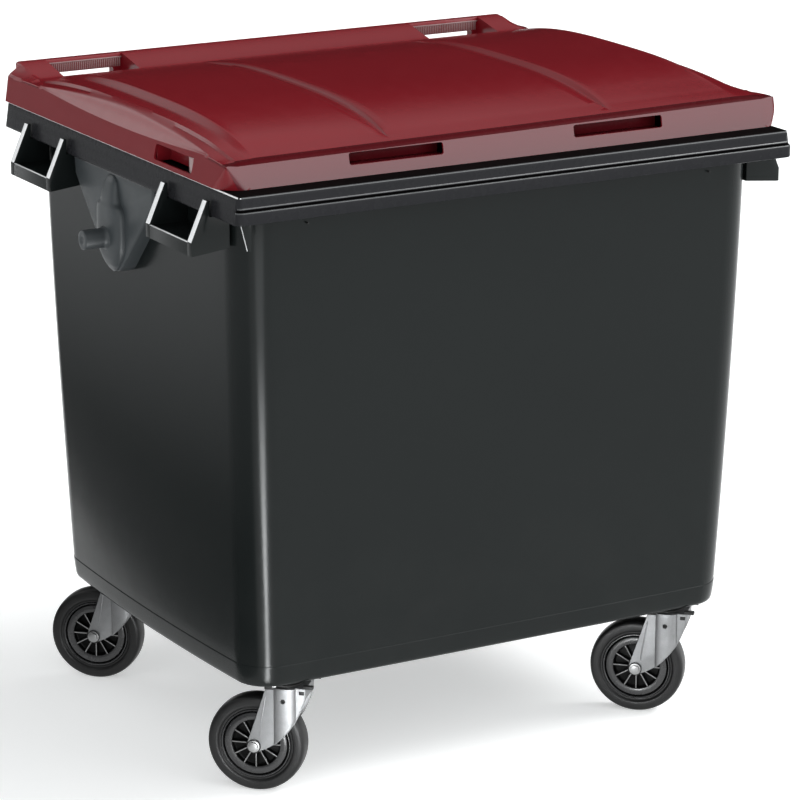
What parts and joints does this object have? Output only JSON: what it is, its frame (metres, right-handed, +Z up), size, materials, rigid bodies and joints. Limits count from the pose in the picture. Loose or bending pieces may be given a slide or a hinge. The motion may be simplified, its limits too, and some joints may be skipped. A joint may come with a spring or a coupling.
{
  "type": "wheelie bin",
  "caption": "Wheeled waste container with a dark grey tub, stepped dark red hinged lid, side trunnions, grip pockets and swivel castors.",
  "frame": {"origin": "on the ground, in the middle of the overall width and depth", "axes": "+Z up, -Y towards the front of the container, +X to the right seen from behind the camera"},
  "size_m": [1.384, 1.1496, 1.361],
  "materials": {
    "body_plastic": "satin moulded polyethylene",
    "trunnion_plastic": "satin moulded polyethylene",
    "lid_plastic": "soft gloss moulded polyethylene",
    "zinc_steel": "zinc plated pressed steel",
    "hub_plastic": "satin",
    "tyre_rubber": "solid rubber",
    "pin_steel": "zinc plated"
  },
  "bodies": {
    "body": {"body_shell": "body_plastic", "drain_plug": "body_plastic", "grip_pocket_front_left": "body_plastic", "grip_pocket_front_right": "body_plastic", "grip_pocket_rear_left": "body_plastic", "grip_pocket_rear_right": "body_plastic", "trunnion_left": "trunnion_plastic", "trunnion_right": "trunnion_plastic", "hinge_bracket_left": "trunnion_plastic", "hinge_bracket_right": "trunnion_plastic", "hinge_pin_left": "pin_steel", "hinge_pin_right": "pin_steel", "castor_front_left_top_plate": "zinc_steel", "castor_front_left_bolt_1": "zinc_steel", "castor_front_left_bolt_2": "zinc_steel", "castor_front_left_bolt_3": "zinc_steel", "castor_front_left_bolt_4": "zinc_steel", "castor_front_left_kingpin": "zinc_steel", "castor_front_right_top_plate": "zinc_steel", "castor_front_right_bolt_1": "zinc_steel", "castor_front_right_bolt_2": "zinc_steel", "castor_front_right_bolt_3": "zinc_steel", "castor_front_right_bolt_4": "zinc_steel", "castor_front_right_kingpin": "zinc_steel", "castor_rear_left_top_plate": "zinc_steel", "castor_rear_left_bolt_1": "zinc_steel", "castor_rear_left_bolt_2": "zinc_steel", "castor_rear_left_bolt_3": "zinc_steel", "castor_rear_left_bolt_4": "zinc_steel", "castor_rear_left_kingpin": "zinc_steel", "castor_rear_right_top_plate": "zinc_steel", "castor_rear_right_bolt_1": "zinc_steel", "castor_rear_right_bolt_2": "zinc_steel", "castor_rear_right_bolt_3": "zinc_steel", "castor_rear_right_bolt_4": "zinc_steel", "castor_rear_right_kingpin": "zinc_steel"},
    "lid": {"lid_shell": "lid_plastic"},
    "castor_front_left_swivel": {"castor_front_left_fork": "zinc_steel", "castor_front_left_axle_bolt": "zinc_steel", "castor_front_left_axle_nut": "zinc_steel"},
    "castor_front_left_wheel": {"castor_front_left_hub": "hub_plastic", "castor_front_left_tyre": "tyre_rubber"},
    "castor_front_right_swivel": {"castor_front_right_fork": "zinc_steel", "castor_front_right_axle_bolt": "zinc_steel", "castor_front_right_axle_nut": "zinc_steel"},
    "castor_front_right_wheel": {"castor_front_right_hub": "hub_plastic", "castor_front_right_tyre": "tyre_rubber"},
    "castor_rear_left_swivel": {"castor_rear_left_fork": "zinc_steel", "castor_rear_left_axle_bolt": "zinc_steel", "castor_rear_left_axle_nut": "zinc_steel"},
    "castor_rear_left_wheel": {"castor_rear_left_hub": "hub_plastic", "castor_rear_left_tyre": "tyre_rubber"},
    "castor_rear_right_swivel": {"castor_rear_right_fork": "zinc_steel", "castor_rear_right_axle_bolt": "zinc_steel", "castor_rear_right_axle_nut": "zinc_steel"},
    "castor_rear_right_wheel": {"castor_rear_right_hub": "hub_plastic", "castor_rear_right_tyre": "tyre_rubber"}
  },
  "joints": [
    {"name": "lid_hinge", "type": "hinge", "parent": "body", "child": "lid", "pos_m": [0, 0.55925, 1.285], "axis": [-1, 0, 0], "range_deg": [0, 270]},
    {"name": "castor_front_left_swivel_turn", "type": "hinge", "parent": "body", "child": "castor_front_left_swivel", "pos_m": [-0.4527, -0.41675, 0.229], "axis": [0, 0, 1], "continuous": true},
    {"name": "castor_front_left_wheel_spin", "type": "hinge", "parent": "castor_front_left_swivel", "child": "castor_front_left_wheel", "pos_m": [-0.49292, -0.37924, 0.1], "axis": [0.682, 0.7314, 0], "continuous": true},
    {"name": "castor_front_right_swivel_turn", "type": "hinge", "parent": "body", "child": "castor_front_right_swivel", "pos_m": [0.4527, -0.41675, 0.229], "axis": [0, 0, 1], "continuous": true},
    {"name": "castor_front_right_wheel_spin", "type": "hinge", "parent": "castor_front_right_swivel", "child": "castor_front_right_wheel", "pos_m": [0.41248, -0.37924, 0.1], "axis": [0.682, 0.7314, 0], "continuous": true},
    {"name": "castor_rear_left_swivel_turn", "type": "hinge", "parent": "body", "child": "castor_rear_left_swivel", "pos_m": [-0.4527, 0.32525, 0.229], "axis": [0, 0, 1], "continuous": true},
    {"name": "castor_rear_left_wheel_spin", "type": "hinge", "parent": "castor_rear_left_swivel", "child": "castor_rear_left_wheel", "pos_m": [-0.49292, 0.36276, 0.1], "axis": [0.682, 0.7314, 0], "continuous": true},
    {"name": "castor_rear_right_swivel_turn", "type": "hinge", "parent": "body", "child": "castor_rear_right_swivel", "pos_m": [0.4527, 0.32525, 0.229], "axis": [0, 0, 1], "continuous": true},
    {"name": "castor_rear_right_wheel_spin", "type": "hinge", "parent": "castor_rear_right_swivel", "child": "castor_rear_right_wheel", "pos_m": [0.41248, 0.36276, 0.1], "axis": [0.682, 0.7314, 0], "continuous": true}
  ]
}
